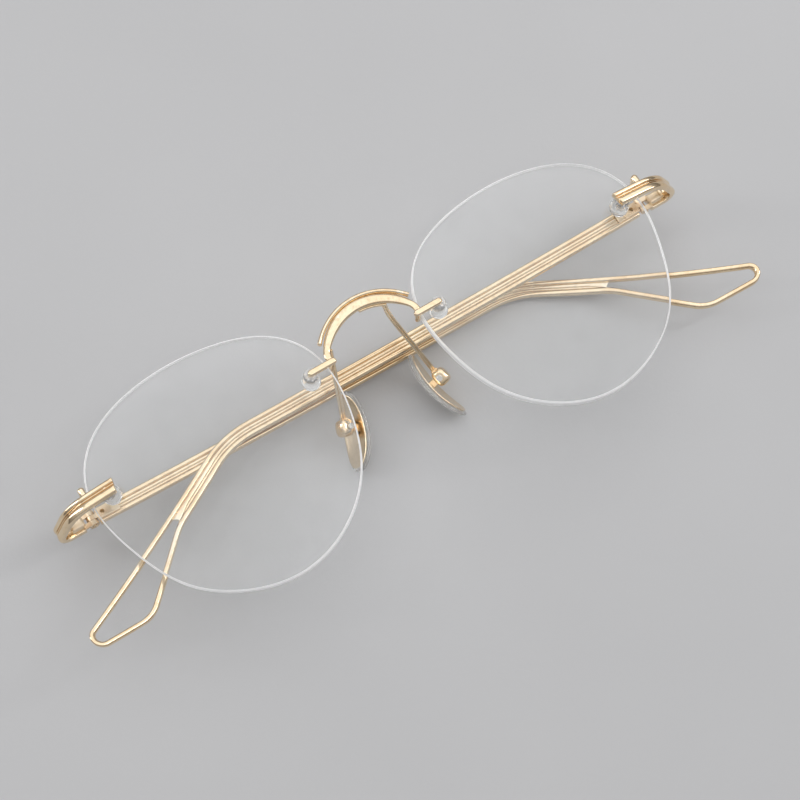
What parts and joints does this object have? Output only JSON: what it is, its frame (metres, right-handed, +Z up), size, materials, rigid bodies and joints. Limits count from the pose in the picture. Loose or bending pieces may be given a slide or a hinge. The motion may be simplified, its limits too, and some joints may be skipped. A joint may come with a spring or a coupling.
{
  "type": "rimless eyeglasses",
  "caption": "Rimless eyeglasses with clear drilled lenses, an arched metal bridge, rocking nose pads and folding temples that end in open wire loops.",
  "frame": {"origin": "on the table the folded glasses lie on, under the point midway between the two lenses and halfway up them", "axes": "+X towards the wearer's left, +Y towards the brow, +Z up, forward for the wearer; the temples lie folded under the lenses"},
  "size_m": [0.142, 0.0462, 0.0215],
  "materials": {
    "gold_metal": "polished champagne gold plate",
    "pale_gold_metal": "polished pale gold plate",
    "satin_gold_metal": "satin gold plate",
    "clear_plastic": "clear, glossy",
    "pad_plastic": "clear, slightly frosted",
    "lens": "clear, polished edge"
  },
  "bodies": {
    "front": {"bridge": "gold_metal", "bridge_ridge_wire": "gold_metal", "endpiece_left": "gold_metal", "endpiece_right": "gold_metal", "hinge_front_leaf_left": "satin_gold_metal", "hinge_front_leaf_right": "satin_gold_metal", "hinge_screw_left": "gold_metal", "hinge_screw_right": "gold_metal", "lens_clip_left": "gold_metal", "lens_clip_right": "gold_metal", "lens_left": "lens", "lens_right": "lens", "nasal_cap_left": "clear_plastic", "nasal_cap_right": "clear_plastic", "nasal_sleeve_left": "clear_plastic", "nasal_sleeve_right": "clear_plastic", "pad_arm_left": "gold_metal", "pad_arm_right": "gold_metal", "pad_box_left": "gold_metal", "pad_box_right": "gold_metal", "pad_screw_left": "gold_metal", "pad_screw_right": "gold_metal", "temporal_cap_left": "clear_plastic", "temporal_cap_right": "clear_plastic", "temporal_sleeve_left": "clear_plastic", "temporal_sleeve_right": "clear_plastic"},
    "temple_left": {"hinge_temple_leaf_left": "satin_gold_metal", "temple_core_left": "pale_gold_metal", "temple_rim_left": "gold_metal"},
    "temple_right": {"hinge_temple_leaf_right": "satin_gold_metal", "temple_core_right": "pale_gold_metal", "temple_rim_right": "gold_metal"},
    "nose_pad_left": {"nose_pad_left": "pad_plastic", "pad_core_left": "pale_gold_metal"},
    "nose_pad_right": {"nose_pad_right": "pad_plastic", "pad_core_right": "pale_gold_metal"}
  },
  "joints": [
    {"name": "temple_hinge_left", "type": "hinge", "parent": "front", "child": "temple_left", "pos_m": [0.0596, 0.00711, 0.00748], "axis": [0, -0.9966, 0.0819], "range_deg": [0, 92]},
    {"name": "temple_hinge_right", "type": "hinge", "parent": "front", "child": "temple_right", "pos_m": [-0.0596, 0.00711, 0.00748], "axis": [0, 0.9966, -0.0819], "range_deg": [0, 92]},
    {"name": "nose_pad_rock_left", "type": "hinge", "parent": "front", "child": "nose_pad_left", "pos_m": [0.0094, -0.0016, 0.0049], "axis": [0.3713, 0.2917, -0.8815], "range_deg": [-7, 7]},
    {"name": "nose_pad_rock_right", "type": "hinge", "parent": "front", "child": "nose_pad_right", "pos_m": [-0.0111, -0.00125, 0.0053], "axis": [-0.5166, 0.3263, -0.7916], "range_deg": [-7, 7]}
  ]
}
